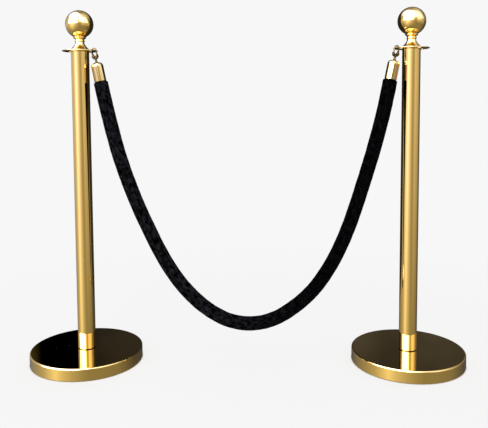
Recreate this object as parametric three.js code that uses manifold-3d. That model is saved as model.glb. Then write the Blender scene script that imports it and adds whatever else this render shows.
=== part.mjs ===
// A rope barrier: two weighted posts with ball finials, joined by a velvet rope on swivel snap hooks.
// Millimetres, +Z up. The origin is on the floor midway between the posts, which stand along X.
import * as THREE from 'three';
import { mergeVertices } from 'three/addons/utils/BufferGeometryUtils.js';
import Module from 'manifold-3d';

const wasm = await Module();
wasm.setup();

// Driving dimensions
const postSpacing = 898;
const baseDiameter = 308;
const baseHeight = 34;
const tubeDiameter = 48.3;
const ringHeight = 861; // floor to the middle of the rope ring
const ringDiameter = 95;
const ringThickness = 2.5;
const ballDiameter = 75;
const ballHeight = 933; // floor to the middle of the ball
const ropeDiameter = 39;
const capDiameter = 32;
const capLength = 51;
const hookWire = 3.6;
const hookLean = THREE.MathUtils.degToRad(11); // the rope pulls each hook this far off plumb
const ringTurn = THREE.MathUtils.degToRad(20); // each ring is turned, so its hooked hole is to the front
const play = 0.3; // gap between touching pieces

// Heights and radii of one post, worked out from the driving dimensions
const baseRadius = baseDiameter / 2;
const tubeRadius = tubeDiameter / 2;
const tubeWall = 1.2;
const coverThickness = 1;
const coverEdge = 4; // outer radius of the rounded rim
const skirtLift = 1.5; // the cover's skirt stops above the floor
const floorRingHeight = 4;
const weightTop = baseHeight - coverThickness - play;
const floorRingOuter = baseRadius - 6;
const floorRingInner = baseRadius - 24;
const weightPlate = 12.4; // thickness of the iron above its recess
const recessTop = weightTop - weightPlate;
const recessRadius = baseRadius - 29;
const recessDraft = 6; // the recess narrows this much towards its top
const washerRadius = 12;
const washerHeight = 2;
const boltRadius = 5;
const boltHeadRadius = 9.8; // across the head's corners, from its middle
const boltHeadHeight = 6.4;
const boltHeadTop = recessTop - washerHeight - 2 * play;
const studRadius = 4;
const plugRadius = tubeRadius - tubeWall - play;
const plugHeight = 16;
const tubeFoot = baseHeight + play;
const ringBottom = ringHeight - ringThickness / 2;
const ringTop = ringHeight + ringThickness / 2;
const tubeTop = ringBottom - play;
const studDepth = 13.5; // length of the stud inside the head plug
const studFoot = tubeTop - studDepth;
const finialWasherRadius = 20;
const finialWasherHeight = 1;
const neckFoot = ringTop + finialWasherHeight + 2 * play;
const neckTop = ringHeight + 38;
const neckFootRadius = 25;
const neckWaist = 11.8;
const flareBottom = ringHeight + 4;
const flareTop = ringHeight + 23;
const collarHeight = flareTop + 3.6; // middle of the small collar
const beadRadius = 17.5;
const beadHeight = neckTop - 1.6; // widest level of the bead under the ball
const ballRadius = ballDiameter / 2;
const ballWall = 1.2;
const ballFlat = neckTop + play - ballHeight; // level of the ball's flat underside, from its middle
const ballBoss = 7.7; // length of the threaded boss inside the ball
const bossWall = 4.6;

// The rope ring
const stripWidth = 5; // metal left between a hole and the rim
const ringHoleRadius = 8.5;
const ringHoleOrbit = ringDiameter / 2 - stripWidth - ringHoleRadius;
const ringHoles = 4;
const stripOrbit = (ringDiameter - stripWidth) / 2;

// The hook and the rope end, in the hook's own frame: u towards the post, v across, w up its axis,
// with the origin at the middle of the crown
const crownRadius = 6.8;
const crownDrop = 1.6; // crown's middle below the middle of the ring's strip
const noseEnd = -3;
const gatePivot = [6.2, -13.5];
const gateTip = -3.6;
const gateHalf = 2; // half of the gate's thickness
const gateEye = 2.8; // radius of the gate's round foot
const gateTipHalf = 1.7;
const yokeHalf = 3.8;
const yokeLug = 3.4; // radius of the yoke round the gate's pin
const yokeNeckHalf = 5;
const yokeFloor = -14.5; // bottom of the loop
const yokeEnd = -22.2;
const pinRadius = 1;
const springHalf = 1.15; // half of the slot that the spring sits in
const windowTop = -16.4;
const windowBottom = -19.6;
const windowHalf = 3.7;
const swivelRadius = 2;
const swivelHead = 3.3;
const swivelHeadHeight = 2.1;
const swivelPlay = 0.4; // gap round the stud in the cap and the end plug
const upperBeadRadius = 3.4;
const upperBead = yokeEnd - play - 2.3; // middle of the bead under the hook
const lowerBeadRadius = 3.9;
const capTop = -32.5;
const lowerBead = capTop + play + 2.4; // middle of the bead on the cap
const capMouth = capTop - capLength;
const capWall = 1.2;
const capDome = 10; // outer radius of the cap's rounded shoulder
const endPlugTop = -44;
const endPlugLength = 16;
const coreRadius = 12.5;
const sleeveBore = 14.5;

// The rope's route between its end caps: x and z, in the upright plane through both hooks
const ropeRoute = [
  [-374, 700], [-361, 645], [-347, 590], [-330.5, 536], [-311, 481], [-289, 425.5], [-264, 370],
  [-237, 313.5], [-204.5, 257], [-162, 201], [-108.5, 151.5], [-48.5, 118.5], [14, 108.5], [76, 121.5],
  [133.5, 156], [184, 202], [224, 257.5], [254, 313.5], [278, 369.5], [297.5, 424.5], [315, 480],
  [331.5, 534.5], [347, 588], [361.5, 642.5], [375, 699],
];

const sides = [['left', -1], ['right', 1]];

// Facets round the larger turned pieces. Pieces that sit in each other share a number.
const baseFacets = 40;
const tubeFacets = 24;
const capFacets = 20;

// Looks
function gold() {
  return new THREE.MeshStandardMaterial({ color: 0xd8a33c, metalness: 1, roughness: 0.18 });
}

function steel() {
  return new THREE.MeshStandardMaterial({ color: 0xb4b8bc, metalness: 1, roughness: 0.4 });
}

function castIron() {
  return new THREE.MeshStandardMaterial({ color: 0x3b3c3e, metalness: 0.6, roughness: 0.75 });
}

function rubber() {
  return new THREE.MeshStandardMaterial({ color: 0x171717, metalness: 0, roughness: 0.9 });
}

function nylon() {
  return new THREE.MeshStandardMaterial({ color: 0xe8e4d8, metalness: 0, roughness: 0.5 });
}

function wood() {
  return new THREE.MeshStandardMaterial({ color: 0xa8825a, metalness: 0, roughness: 0.8 });
}

function foam() {
  return new THREE.MeshStandardMaterial({ color: 0xd9d4c4, metalness: 0, roughness: 0.95 });
}

function velvet() {
  return new THREE.MeshStandardMaterial({ color: 0x0b0b0d, metalness: 0, roughness: 0.95 });
}

// Solids
function toSolid(geometry) {
  const bare = geometry.clone();
  bare.deleteAttribute('normal');
  bare.deleteAttribute('uv');
  const merged = mergeVertices(bare, 1e-4);
  const corners = [];
  for (let i = 0; i < merged.index.count; i += 3) {
    const [a, b, c] = merged.index.array.slice(i, i + 3);
    if (a !== b && b !== c && c !== a) corners.push(a, b, c);
  }
  return new wasm.Manifold(new wasm.Mesh({
    numProp: 3,
    vertProperties: new Float32Array(merged.attributes.position.array),
    triVerts: new Uint32Array(corners),
  }));
}

function toGeometry(solid) {
  const mesh = solid.getMesh();
  const geometry = new THREE.BufferGeometry();
  geometry.setAttribute('position', new THREE.BufferAttribute(mesh.vertProperties, 3));
  geometry.setIndex(new THREE.BufferAttribute(mesh.triVerts, 1));
  geometry.computeVertexNormals();
  return geometry;
}

// Points of an arc about [r, z], with its angles in degrees
function arc([r, z], radius, from, to, steps) {
  return Array.from({ length: steps + 1 }, (_, i) => {
    const angle = THREE.MathUtils.degToRad(from + ((to - from) * i) / steps);
    return [r + radius * Math.cos(angle), z + radius * Math.sin(angle)];
  });
}

// A solid turned about Z from a [radius, height] section that runs counter-clockwise.
// A section that stays off the axis is closed on itself.
function turned(section, segments) {
  const loop = section[0][0] > 0 ? [...section, section[0]] : section;
  const points = loop.map(([r, z]) => new THREE.Vector2(r, z));
  return toSolid(new THREE.LatheGeometry(points, segments).rotateX(Math.PI / 2));
}

// A plain ring or disc with a bore
function washer(outer, bore, bottom, top, segments) {
  return turned([[bore, bottom], [outer, bottom], [outer, top], [bore, top]], segments);
}

function cylinder(radius, bottom, top, segments) {
  return turned([[0, bottom], [radius, bottom], [radius, top], [0, top]], segments);
}

// A cylinder along v, centred on [u, w]
function crossCylinder([u, w], radius, half, segments) {
  const geometry = new THREE.CylinderGeometry(radius, radius, 2 * half, segments);
  return toSolid(geometry.translate(u, 0, w));
}

function block(low, high) {
  const size = high.map((value, i) => value - low[i]);
  const middle = high.map((value, i) => (value + low[i]) / 2);
  return toSolid(new THREE.BoxGeometry(...size).translate(...middle));
}

// A flat plate whose outline is drawn in u and w and whose thickness is centred across v
function uprightPlate(shape, half) {
  const settings = { depth: 2 * half, bevelEnabled: false, curveSegments: 8 };
  const geometry = new THREE.ExtrudeGeometry(shape, settings).rotateX(Math.PI / 2);
  return toSolid(geometry.translate(0, half, 0));
}

function polygon(radius, corners) {
  return arc([0, 0], radius, 0, 360 - 360 / corners, corners - 1)
    .map(([x, y]) => new THREE.Vector2(x, y));
}

// A round rod, or a pipe if it has a bore, along a curve
function swept(curve, steps, radius, bore, corners) {
  const section = new THREE.Shape(polygon(radius, corners));
  if (bore > 0) section.holes.push(new THREE.Path(polygon(bore, corners)));
  const settings = { steps, bevelEnabled: false, extrudePath: curve };
  return toSolid(new THREE.ExtrudeGeometry(section, settings));
}

// Post
function floorRing() {
  return washer(floorRingOuter, floorRingInner, 0, floorRingHeight, baseFacets);
}

function baseWeight() {
  const outer = baseRadius - coverThickness - play;
  const foot = floorRingHeight + play;
  const bore = boltRadius + play;
  return turned([
    [outer, foot], [outer, weightTop - coverEdge], [outer - coverEdge + coverThickness, weightTop],
    [bore, weightTop], [bore, recessTop], [recessRadius - recessDraft, recessTop], [recessRadius, foot],
  ], baseFacets);
}

function baseCover() {
  const corner = [baseRadius - coverEdge, baseHeight - coverEdge];
  const bore = boltRadius + play;
  return turned([
    [baseRadius, skirtLift],
    ...arc(corner, coverEdge, 0, 90, 2),
    [bore, baseHeight], [bore, baseHeight - coverThickness],
    ...arc(corner, coverEdge - coverThickness, 90, 0, 2),
    [baseRadius - coverThickness, skirtLift],
  ], baseFacets);
}

function postTube() {
  return washer(tubeRadius, tubeRadius - tubeWall, tubeFoot, tubeTop, tubeFacets);
}

function footPlug() {
  return washer(plugRadius, boltRadius + play, tubeFoot + play, tubeFoot + play + plugHeight, tubeFacets);
}

function baseBolt() {
  const head = cylinder(boltHeadRadius, boltHeadTop - boltHeadHeight, boltHeadTop, 6);
  const shank = cylinder(boltRadius, boltHeadTop - 1, tubeFoot + plugHeight - 2, 16);
  return head.add(shank);
}

function baseWasher() {
  const bottom = boltHeadTop + play;
  return washer(washerRadius, boltRadius + play, bottom, bottom + washerHeight, 16);
}

function headPlug() {
  return washer(plugRadius, studRadius + play, tubeTop - plugHeight, tubeTop, tubeFacets);
}

function ropeRing() {
  const outline = new THREE.Shape(polygon(ringDiameter / 2, 36));
  outline.holes.push(new THREE.Path(polygon(studRadius + play, 12)));
  for (let i = 0; i < ringHoles; i += 1) {
    const angle = (i * 2 * Math.PI) / ringHoles;
    const middle = new THREE.Vector2(ringHoleOrbit * Math.cos(angle), ringHoleOrbit * Math.sin(angle));
    outline.holes.push(new THREE.Path(polygon(ringHoleRadius, 16).map((point) => point.add(middle))));
  }
  const geometry = new THREE.ExtrudeGeometry(outline, { depth: ringThickness, bevelEnabled: false });
  return toSolid(geometry.translate(0, 0, ringBottom));
}

function finialStud() {
  return cylinder(studRadius, studFoot, ballHeight + ballFlat + ballBoss, 16);
}

function finialWasher() {
  const bottom = ringTop + play;
  return washer(finialWasherRadius, studRadius + play, bottom, bottom + finialWasherHeight, 16);
}

function finialNeck() {
  const bore = studRadius + play;
  const steps = 5;
  const flare = Array.from({ length: steps + 1 }, (_, i) => {
    const part = i / steps;
    const radius = neckWaist + (neckFootRadius - neckWaist) * (1 - part) ** 1.6;
    return [radius, flareBottom + (flareTop - flareBottom) * part];
  });
  return turned([
    [bore, neckFoot], [neckFootRadius, neckFoot],
    ...flare,
    [neckWaist, collarHeight - 2], [neckWaist + 1.6, collarHeight - 1],
    [neckWaist + 1.6, collarHeight + 1], [neckWaist + 0.4, collarHeight + 2],
    [neckWaist + 0.4, beadHeight - 5], [beadRadius - 2.3, beadHeight - 3],
    [beadRadius, beadHeight - 0.8], [beadRadius, beadHeight + 0.8],
    [beadRadius - 1.1, neckTop], [bore, neckTop],
  ], 16);
}

function finialBall() {
  const inner = ballRadius - ballWall;
  const outerFrom = THREE.MathUtils.radToDeg(Math.asin(ballFlat / ballRadius));
  const floor = ballFlat + ballWall;
  const innerTo = THREE.MathUtils.radToDeg(Math.asin(floor / inner));
  const bore = studRadius + play;
  const section = [
    [0, inner],
    ...arc([0, 0], inner, 75, innerTo, 5),
    [bore + bossWall, floor], [bore + bossWall, ballFlat + ballBoss], [bore, ballFlat + ballBoss],
    [bore, ballFlat],
    ...arc([0, 0], ballRadius, outerFrom, 78, 10),
    [0, ballRadius],
  ];
  return turned(section.map(([r, z]) => [r, z + ballHeight]), tubeFacets);
}

// Hook, in its own frame
function hookRod() {
  const bend = arc([0, 0], crownRadius, 0, 180, 8).map(([u, w]) => new THREE.Vector3(u, 0, w));
  const line = [
    new THREE.Vector3(crownRadius, 0, noseEnd),
    ...bend,
    new THREE.Vector3(-crownRadius, 0, -4),
    new THREE.Vector3(-crownRadius, 0, -8),
    new THREE.Vector3(-crownRadius, 0, yokeFloor + 2),
  ];
  return swept(new THREE.CatmullRomCurve3(line), 18, hookWire / 2, 0, 8);
}

// The outline of the lump that carries the gate and the swivel stud
function yokeShape() {
  const [pivotU, pivotW] = gatePivot;
  const back = -crownRadius - hookWire / 2;
  const shape = new THREE.Shape();
  shape.moveTo(-yokeNeckHalf, yokeEnd);
  shape.lineTo(yokeNeckHalf, yokeEnd);
  shape.lineTo(pivotU + gateEye, pivotW - 4);
  shape.absarc(pivotU, pivotW, yokeLug, 0, Math.PI, false);
  shape.lineTo(2, yokeFloor);
  shape.lineTo(-yokeLug, yokeFloor);
  shape.lineTo(-5.4, yokeFloor + 2.5);
  shape.lineTo(back, yokeFloor + 4);
  shape.lineTo(back, yokeFloor - 3);
  return shape;
}

// The slot that the gate turns in, open to the loop
function gateSlot() {
  const [pivotU, pivotW] = gatePivot;
  const half = gateHalf + play;
  const reach = yokeLug + play;
  const opening = block([pivotU - reach, -half, pivotW], [pivotU + reach, half, pivotW + 5]);
  return crossCylinder(gatePivot, gateEye + 0.4, half, 16).add(opening);
}

function snapHook() {
  const cuts = [
    gateSlot(),
    crossCylinder(gatePivot, pinRadius + play, yokeHalf + 1, 12),
    block([-windowHalf, -yokeHalf - 1, windowBottom], [windowHalf, yokeHalf + 1, windowTop]),
    cylinder(swivelRadius + play, yokeEnd - 1, windowBottom + 1, 16),
  ];
  const body = hookRod().add(uprightPlate(yokeShape(), yokeHalf));
  return cuts.reduce((solid, cut) => solid.subtract(cut), body);
}

function hookGate() {
  const [pivotU, pivotW] = gatePivot;
  const shape = new THREE.Shape();
  shape.absarc(pivotU, pivotW, gateEye, Math.PI, 2 * Math.PI, false);
  shape.lineTo(crownRadius + gateTipHalf, gateTip);
  shape.lineTo(crownRadius - gateTipHalf, gateTip);
  shape.lineTo(pivotU - gateEye, pivotW);
  return uprightPlate(shape, gateHalf)
    .subtract(crossCylinder(gatePivot, pinRadius + play, gateHalf + 1, 12))
    .subtract(crossCylinder(gatePivot, gateEye + 0.5, springHalf, 16)); // the spring's slot
}

function gatePin() {
  return crossCylinder(gatePivot, pinRadius, yokeHalf - 0.1, 12);
}

// A torsion spring of two turns round the pin
function gateSpring() {
  const turns = 2;
  const pitch = 0.6;
  const coilRadius = 1.75;
  const wireRadius = 0.2;
  const steps = turns * 8;
  const line = Array.from({ length: steps + 1 }, (_, i) => {
    const angle = (i / steps) * turns * 2 * Math.PI;
    return new THREE.Vector3(
      gatePivot[0] + coilRadius * Math.cos(angle),
      ((i / steps) - 0.5) * turns * pitch,
      gatePivot[1] + coilRadius * Math.sin(angle),
    );
  });
  return swept(new THREE.CatmullRomCurve3(line), 2 * steps, wireRadius, 0, 5);
}

// A headed pin that the hook turns on, with two beads that keep it off the cap
function swivelStud() {
  const foot = endPlugTop - endPlugLength + 4;
  const headFoot = windowBottom + play;
  return turned([
    [0, foot], [swivelRadius, foot],
    [swivelRadius, lowerBead - 2.4], [lowerBeadRadius - 0.7, lowerBead - 2], [lowerBeadRadius, lowerBead],
    [lowerBeadRadius - 0.7, lowerBead + 2], [swivelRadius, lowerBead + 2.4],
    [swivelRadius, upperBead - 2.3], [upperBeadRadius - 0.6, upperBead - 1.8], [upperBeadRadius, upperBead],
    [upperBeadRadius - 0.6, upperBead + 1.8], [swivelRadius, upperBead + 2.3],
    [swivelRadius, headFoot], [swivelHead, headFoot], [swivelHead, headFoot + swivelHeadHeight - 0.6],
    [swivelHead - 1, headFoot + swivelHeadHeight], [0, headFoot + swivelHeadHeight],
  ], 12);
}

function endCap() {
  const outer = capDiameter / 2;
  const shoulder = [outer - capDome, capTop - capDome];
  const bore = swivelRadius + swivelPlay;
  return turned([
    [outer, capMouth],
    ...arc(shoulder, capDome, 0, 90, 4),
    [bore, capTop], [bore, capTop - capWall],
    ...arc(shoulder, capDome - capWall, 90, 0, 3),
    [outer - capWall, capMouth],
  ], capFacets);
}

function endPlug() {
  const outer = capDiameter / 2 - capWall - play;
  return washer(outer, swivelRadius + swivelPlay, endPlugTop - endPlugLength, endPlugTop, capFacets);
}

// The middle of the ring's strip that a hook hangs on, and the directions of the hook's own frame
function hookFrame(side) {
  const hang = new THREE.Vector3(
    side * (postSpacing / 2 - stripOrbit * Math.cos(ringTurn)),
    -stripOrbit * Math.sin(ringTurn),
    ringHeight,
  );
  const up = new THREE.Vector3(side * Math.sin(hookLean), 0, Math.cos(hookLean));
  const toPost = new THREE.Vector3(side * Math.cos(ringTurn), Math.sin(ringTurn), 0);
  toPost.addScaledVector(up, -toPost.dot(up)).normalize();
  const across = new THREE.Vector3().crossVectors(up, toPost);
  const middle = hang.addScaledVector(up, -crownDrop);
  return new THREE.Matrix4().makeBasis(toPost, across, up).setPosition(middle);
}

// Rope
function ropeCurve(endDepth) {
  const [start, finish] = sides.map(([, side]) => {
    return new THREE.Vector3(0, 0, endDepth).applyMatrix4(hookFrame(side));
  });
  const between = ropeRoute.map(([x, z]) => new THREE.Vector3(x, start.y, z));
  return new THREE.CatmullRomCurve3([start, ...between, finish], false, 'centripetal');
}

function ropeSleeve() {
  return swept(ropeCurve(capMouth - play), 40, ropeDiameter / 2, sleeveBore, 12);
}

function ropeCore() {
  return swept(ropeCurve(endPlugTop - endPlugLength - play), 42, coreRadius, 0, 8);
}

// Assembly
function mesh(name, solid, material) {
  const piece = new THREE.Mesh(toGeometry(solid), material);
  piece.name = name;
  return piece;
}

function post(name, side) {
  const group = new THREE.Group();
  group.position.x = (side * postSpacing) / 2;
  const ring = mesh(`${name}_rope_ring`, ropeRing(), gold());
  ring.rotation.z = side * ringTurn;
  group.add(
    mesh(`${name}_floor_ring`, floorRing(), rubber()),
    mesh(`${name}_base_weight`, baseWeight(), castIron()),
    mesh(`${name}_base_cover`, baseCover(), gold()),
    mesh(`${name}_post_tube`, postTube(), gold()),
    mesh(`${name}_foot_plug`, footPlug(), steel()),
    mesh(`${name}_base_bolt`, baseBolt(), steel()),
    mesh(`${name}_base_washer`, baseWasher(), steel()),
    mesh(`${name}_head_plug`, headPlug(), steel()),
    ring,
    mesh(`${name}_finial_stud`, finialStud(), steel()),
    mesh(`${name}_finial_washer`, finialWasher(), nylon()),
    mesh(`${name}_finial_neck`, finialNeck(), gold()),
    mesh(`${name}_finial_ball`, finialBall(), gold()),
  );
  return group;
}

function ropeEnd(name, side) {
  const group = new THREE.Group();
  group.applyMatrix4(hookFrame(side));
  group.add(
    mesh(`${name}_snap_hook`, snapHook(), gold()),
    mesh(`${name}_hook_gate`, hookGate(), gold()),
    mesh(`${name}_gate_pin`, gatePin(), steel()),
    mesh(`${name}_gate_spring`, gateSpring(), steel()),
    mesh(`${name}_swivel_stud`, swivelStud(), gold()),
    mesh(`${name}_end_cap`, endCap(), gold()),
    mesh(`${name}_end_plug`, endPlug(), wood()),
  );
  return group;
}

const barrier = new THREE.Group();
for (const [name, side] of sides) {
  barrier.add(post(name, side), ropeEnd(name, side));
}
barrier.add(
  mesh('rope_sleeve', ropeSleeve(), velvet()),
  mesh('rope_core', ropeCore(), foam()),
);

export default barrier;
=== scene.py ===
"""The looks of a rope barrier: two gold posts with ball finials and a black velvet rope between them.

Sizes are in millimetres and are turned into metres where a mesh is made.
"""

from math import asin, cos, degrees, pi, radians, sin

import bmesh
import bpy
from mathutils import Matrix, Vector, noise
from mathutils.kdtree import KDTree


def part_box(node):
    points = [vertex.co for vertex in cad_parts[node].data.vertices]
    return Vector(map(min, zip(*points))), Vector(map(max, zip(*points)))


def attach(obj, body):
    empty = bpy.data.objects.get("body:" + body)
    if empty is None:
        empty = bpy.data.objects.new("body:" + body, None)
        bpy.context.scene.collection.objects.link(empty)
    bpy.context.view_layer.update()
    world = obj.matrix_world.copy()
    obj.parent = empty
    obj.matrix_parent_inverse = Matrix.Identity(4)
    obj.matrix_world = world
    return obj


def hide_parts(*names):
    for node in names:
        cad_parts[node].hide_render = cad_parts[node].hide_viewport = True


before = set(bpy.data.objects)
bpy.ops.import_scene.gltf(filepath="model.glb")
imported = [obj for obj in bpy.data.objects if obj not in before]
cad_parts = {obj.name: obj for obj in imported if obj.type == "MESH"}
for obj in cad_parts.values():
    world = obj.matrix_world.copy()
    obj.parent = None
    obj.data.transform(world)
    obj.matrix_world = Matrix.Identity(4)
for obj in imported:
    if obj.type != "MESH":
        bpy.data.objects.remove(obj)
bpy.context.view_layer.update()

MM = 0.001
SIDES = {"left": -1, "right": 1}


# Sizes read from the frame

def low(node):
    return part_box(node)[0] / MM


def high(node):
    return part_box(node)[1] / MM


def middle(node):
    return (low(node) + high(node)) / 2


POST_X = {name: middle(f"{name}_post_tube").x for name in SIDES}
BASE_RADIUS = (high("left_base_cover").x - low("left_base_cover").x) / 2
BASE_TOP = high("left_base_cover").z
SKIRT_FOOT = low("left_base_cover").z
TUBE_RADIUS = (high("left_post_tube").x - low("left_post_tube").x) / 2
TUBE_FOOT = low("left_post_tube").z
TUBE_TOP = high("left_post_tube").z
RING_HEIGHT = middle("left_rope_ring").z
RING_THICKNESS = high("left_rope_ring").z - low("left_rope_ring").z
NECK_FOOT = low("left_finial_neck").z
NECK_TOP = high("left_finial_neck").z
BALL_FOOT = low("left_finial_ball").z
BALL_TOP = high("left_finial_ball").z

# Sizes that the frame's boxes don't give, repeated from the CAD
PLAY = 0.3  # gap between touching pieces
BOLT_BORE = 5 + PLAY
STUD_BORE = 4 + PLAY

# The base
COVER_THICKNESS = 1
COVER_EDGE = 4  # outer radius of the rounded rim
FLOOR_RING_OUTER = BASE_RADIUS - 6
FLOOR_RING_INNER = BASE_RADIUS - 24
FLOOR_RING_HEIGHT = 4
FLOOR_RING_EDGE = 0.8
WEIGHT_PLATE = 12.4  # thickness of the iron above its recess
WEIGHT_EDGE = 1.5
RECESS_RADIUS = BASE_RADIUS - 29
RECESS_DRAFT = 6  # the recess narrows this much towards its top

# The tube, with a painted line of shade at its joint with the base that fades out above its foot
TUBE_WALL = 1.2
TUBE_FOOT_EDGE = 1.1
TUBE_TOP_EDGE = 0.5
SHADE_LINE_TOP = TUBE_FOOT + 1.5
SHADE_LINE_END = TUBE_FOOT + 2.1

# The ring that the hooks hang in. A hook rests on the strip outside its hole
RING_RADIUS = 47.5
RING_EDGE = 1.2
STRIP_WIDTH = 5
STRIP_ORBIT = RING_RADIUS - STRIP_WIDTH / 2
RING_HOLE_RADIUS = 8.5
RING_HOLE_ORBIT = RING_RADIUS - STRIP_WIDTH - RING_HOLE_RADIUS
RING_HOLES = 4
RING_TURN = radians(20)

# The neck, from its flared foot up. Points are (radius, height)
NECK_EDGE = 1.1
FLARE_RADIUS = 25
FLARE_FOOT = RING_HEIGHT + 4
FLARE_TOP = RING_HEIGHT + 23
FLARE_POWER = 1.6  # how quickly the flare draws in
FLARE_STEPS = 16
WAIST_RADIUS = 11.8
COLLAR_RADIUS = WAIST_RADIUS + 1.6
COLLAR_HEIGHT = FLARE_TOP + 3.6
COLLAR_HALF = 1
COLLAR_REACH = 2.2  # from the collar's middle to where it meets the neck
BEAD_RADIUS = 17.5
BEAD_HEIGHT = NECK_TOP - 1.6
BEAD_HALF = 0.8
THROAT_FOOT = (WAIST_RADIUS + 0.3, COLLAR_HEIGHT + COLLAR_REACH)
THROAT_TOP = (WAIST_RADIUS + 0.4, BEAD_HEIGHT - 5)
BEAD_STEP = (WAIST_RADIUS + 3.4, BEAD_HEIGHT - 3)
BEAD_TOP = (16.4, NECK_TOP)
NECK_SKIN = WAIST_RADIUS - 0.1  # what lies further in than this is inside the neck

# The ball
BALL_RADIUS = 37.5
BALL_WALL = 1.2
BALL_BOSS = 7.7  # height of the threaded boss above the ball's flat foot
BALL_BOSS_WALL = 4.6
INNER_POLE, OUTER_POLE = 84, 88  # degrees at which the ball's two arcs stop short of its pole

# The hook and the rope end, in the hook's own frame: u towards the post, v across, w up its axis
HOOK_LEAN = radians(11)
HOOK_WIRE = 1.8
CROWN_RADIUS = 6.8
CROWN_DROP = 1.6  # from the middle of the ring's strip to the middle of the crown
NOSE_END = -3
NOSE = [(0, 0.45), (0.25, 0.72), (0.6, 0.88), (1.1, 0.97), (1.8, 1)]  # (way from its end, share of the wire)
GATE_PIVOT = (6.2, -13.5)  # (u, w)
GATE_EYE = 2.8
GATE_TIP = -3.6
GATE_TIP_HALF = 1.7
GATE_HALF = 2
GATE_CORNER = 0.7
GATE_EDGE = 0.5
YOKE_HALF = 3.8
YOKE_EYE = 3.4
YOKE_FLOOR = -14.5
YOKE_END = -22.2
YOKE_FOOT_HALF = 5
YOKE_FLANK = 4
YOKE_CORNER = 1.2
YOKE_EDGE = 0.8
SEAT_FRONT = 2
SEAT_BACK = -3.4
COVE = (-5.4, YOKE_FLOOR + 2.5)
SHOULDER_TOP = YOKE_FLOOR + 4
SHOULDER_FOOT = YOKE_FLOOR - 3
BACK_END = YOKE_FLOOR + 2
FORK_RADIUS = 3.2
FORK_HEIGHT = 5
PIN_RADIUS = 1
SPRING_HALF = 1.15
SPRING_ROOM = 0.5
CUT_PAST = 1  # a cutter reaches this far past what it cuts
WINDOW_TOP = -16.4
WINDOW_BOTTOM = -19.6
WINDOW_HALF = 3.7
SWIVEL_RADIUS = 2
SWIVEL_PLAY = 0.4
SWIVEL_HEAD = 3.3
SWIVEL_HEAD_HEIGHT = 2.1
SWIVEL_HEAD_EDGE = [(0, 1.5), (0.4, 2), (1.2, 2.1)]  # (way in from its side, height)
LOWER_BEAD = (2.4, 0.5, 78)  # its radius, how deep its middle lies in the stud, and half its arc in degrees
UPPER_BEAD = (2.3, 0.9, 70)
STUD_FOOT = -56
CAP_TOP = -32.5
CAP_MOUTH = -83.5
CAP_RADIUS = 16
CAP_WALL = 1.2
CAP_DOME = 10

# The rope
ROPE_RADIUS = 19.5
ROPE_STEP = 3  # between its rings of corners
DRAWN_RADIUS = CAP_RADIUS - 1  # the sleeve's radius where it goes into a cap
DRAWN_LENGTH = 4
PUCKERS = 11
PUCKER_HEIGHT = 0.35
PUCKER_LENGTH = 30
LUMP_LENGTH = 22
LUMPS = [(1, 0.45), (2.6, 0.25)]  # (fineness, height)
SEAM_DEPTH = 0.9
SEAM_HALF = 0.16  # radians

# The middle of the rope between its caps, as (x, z)
ROPE_ROUTE = [
    (-374, 700), (-361, 645), (-347, 590), (-330.5, 536), (-311, 481), (-289, 425.5), (-264, 370),
    (-237, 313.5), (-204.5, 257), (-162, 201), (-108.5, 151.5), (-48.5, 118.5), (14, 108.5), (76, 121.5),
    (133.5, 156), (184, 202), (224, 257.5), (254, 313.5), (278, 369.5), (297.5, 424.5), (315, 480),
    (331.5, 534.5), (347, 588), (361.5, 642.5), (375, 699),
]


def placed(name, data):
    """An object with that data, in the scene."""
    obj = bpy.data.objects.new(name, data)
    bpy.context.scene.collection.objects.link(obj)
    return obj


# Camera

# Fitted to the outlines in the photograph: metres, radians, and millimetres for the lens and sensor
CAMERA_PLACE = (0.0467, -1.6977, 0.6976)
CAMERA_YAW = -0.0292
CAMERA_PITCH = 0.0705
CAMERA_ROLL = -0.0059
CAMERA_LENS = 45.83
CAMERA_SENSOR = 36
CAMERA_SHIFT = -0.123


def camera():
    """A viewpoint at hip height in front of the rope, a little to the right, looking slightly down."""
    data = bpy.data.cameras.new("camera")
    data.lens = CAMERA_LENS
    data.sensor_width = CAMERA_SENSOR
    data.shift_y = CAMERA_SHIFT
    obj = placed("camera", data)
    tilt = Matrix.Rotation(pi / 2 - CAMERA_PITCH, 4, "X")
    turn = Matrix.Rotation(-CAMERA_YAW, 4, "Z") @ tilt @ Matrix.Rotation(CAMERA_ROLL, 4, "Z")
    obj.matrix_world = Matrix.Translation(CAMERA_PLACE) @ turn
    bpy.context.scene.camera = obj


# Node graphs

def add(tree, kind, inputs=None, **settings):
    """A node of that kind. An input is a plain value or another node's output."""
    node = tree.nodes.new(kind)
    for key, value in settings.items():
        setattr(node, key, value)
    for key, value in (inputs or {}).items():
        if isinstance(value, bpy.types.NodeSocket):
            tree.links.new(value, node.inputs[key])
        else:
            node.inputs[key].default_value = value
    return node


def ramp(tree, factor, stops):
    """The colour of a ramp whose stops are (place, colour)."""
    node = add(tree, "ShaderNodeValToRGB", {"Fac": factor})
    elements = node.color_ramp.elements
    while len(elements) < len(stops):
        elements.new(0.5)
    for element, (place, colour) in zip(elements, stops):
        element.position = place
        element.color = (*colour, 1)
    return node.outputs["Color"]


def grey(value):
    """A colour with all three parts the same."""
    return (value, value, value)


def spread(tree, factor, from_low, from_high, to_low, to_high):
    """factor moved from one range to another and kept inside it."""
    inputs = {
        "Value": factor, "From Min": from_low, "From Max": from_high, "To Min": to_low, "To Max": to_high,
    }
    return add(tree, "ShaderNodeMapRange", inputs).outputs["Result"]


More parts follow.
